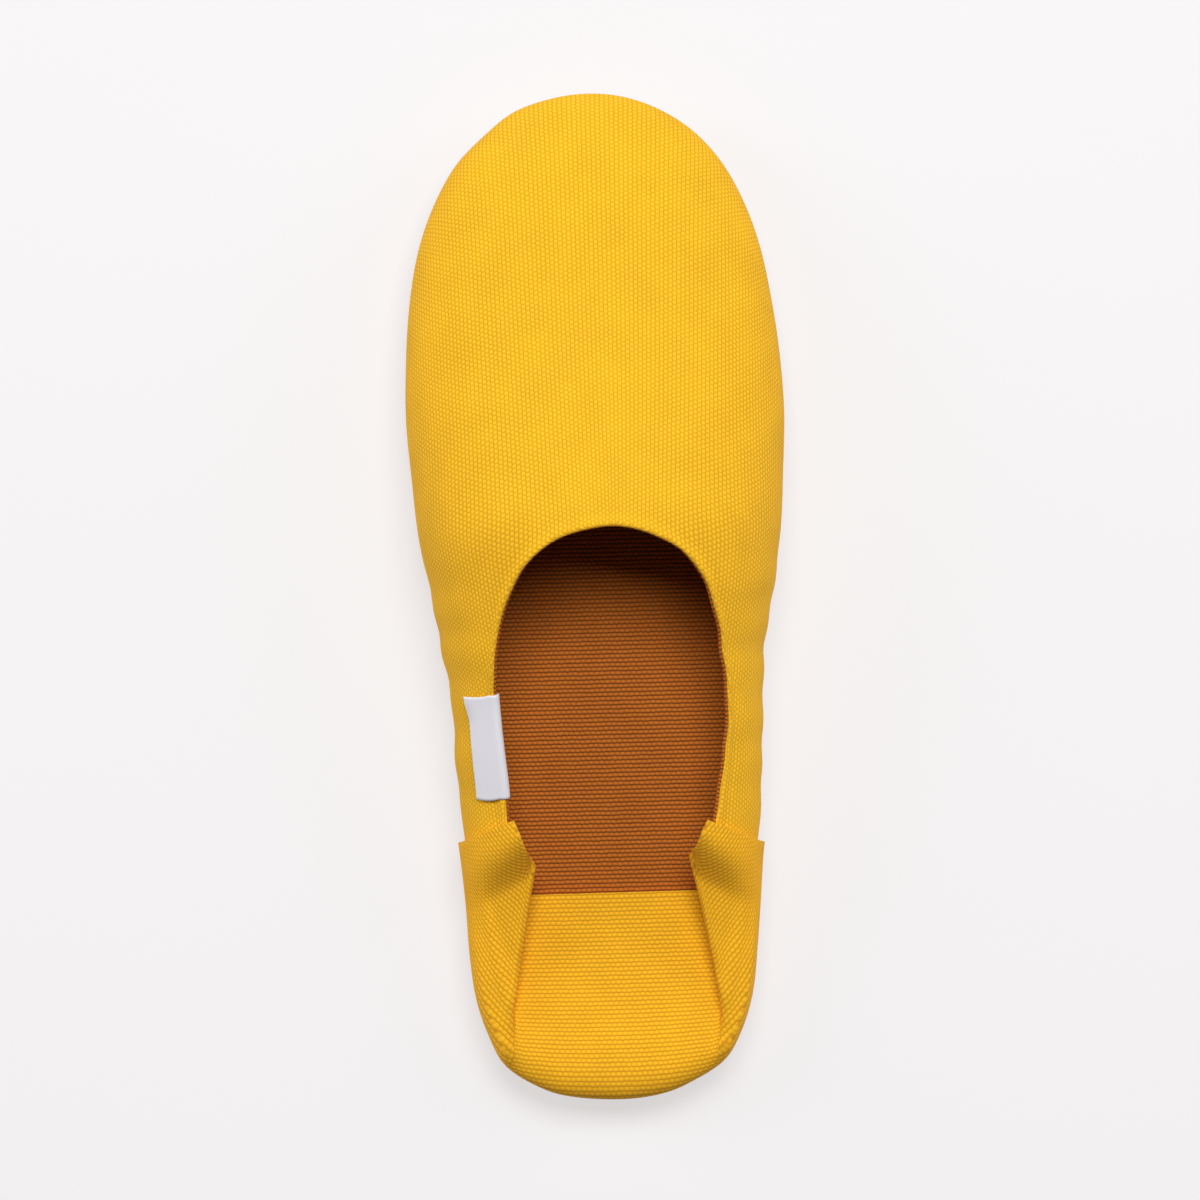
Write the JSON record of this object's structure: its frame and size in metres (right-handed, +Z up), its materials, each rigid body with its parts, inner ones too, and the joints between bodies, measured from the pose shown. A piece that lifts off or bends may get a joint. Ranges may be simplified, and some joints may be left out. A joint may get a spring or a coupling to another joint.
{
  "type": "babouche slipper",
  "caption": "Soft canvas house slipper for the left foot, backless with its cloth heel folded flat, open collar, padded insole and thin flexible sole.",
  "frame": {"origin": "on the floor, under the middle of the slipper's own box", "axes": "+Y to the toe, +X to the big toe's side of a left foot, +Z up"},
  "size_m": [0.0996, 0.265, 0.0553],
  "materials": {
    "canvas": "plain-woven cotton canvas, mustard yellow, matt",
    "lining_canvas": "plain-woven cotton canvas, rust brown, matt",
    "sole_suede": "brushed suede-like sheet, tan, matt",
    "ribbon": "woven satin ribbon, white, blank"
  },
  "bodies": {
    "root": {"outsole": "sole_suede", "insole": "lining_canvas", "upper": "canvas", "heel_cloth": "canvas", "label": "ribbon"}
  },
  "joints": []
}
